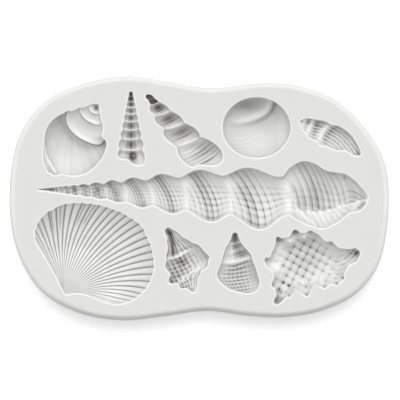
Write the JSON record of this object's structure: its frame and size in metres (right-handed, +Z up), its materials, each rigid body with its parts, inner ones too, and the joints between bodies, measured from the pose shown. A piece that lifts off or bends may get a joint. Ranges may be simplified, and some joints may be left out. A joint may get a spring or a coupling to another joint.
{
  "type": "sea shell casting mould",
  "caption": "Flat soft mould with a double-lobed outline and half-relief sea shell hollows in its upper face, for pressing or casting small shells.",
  "frame": {"origin": "middle of the slab's bounding box, on the underside that the mould rests on", "axes": "+X along the slab's long side towards the spined shell, +Y across the slab towards the small spired shells, +Z up out of the face that holds the hollows"},
  "size_m": [0.12, 0.0772, 0.013],
  "materials": {
    "silicone": "satin, soft translucent white silicone"
  },
  "bodies": {
    "root": {"mould_body": "silicone"}
  },
  "joints": []
}
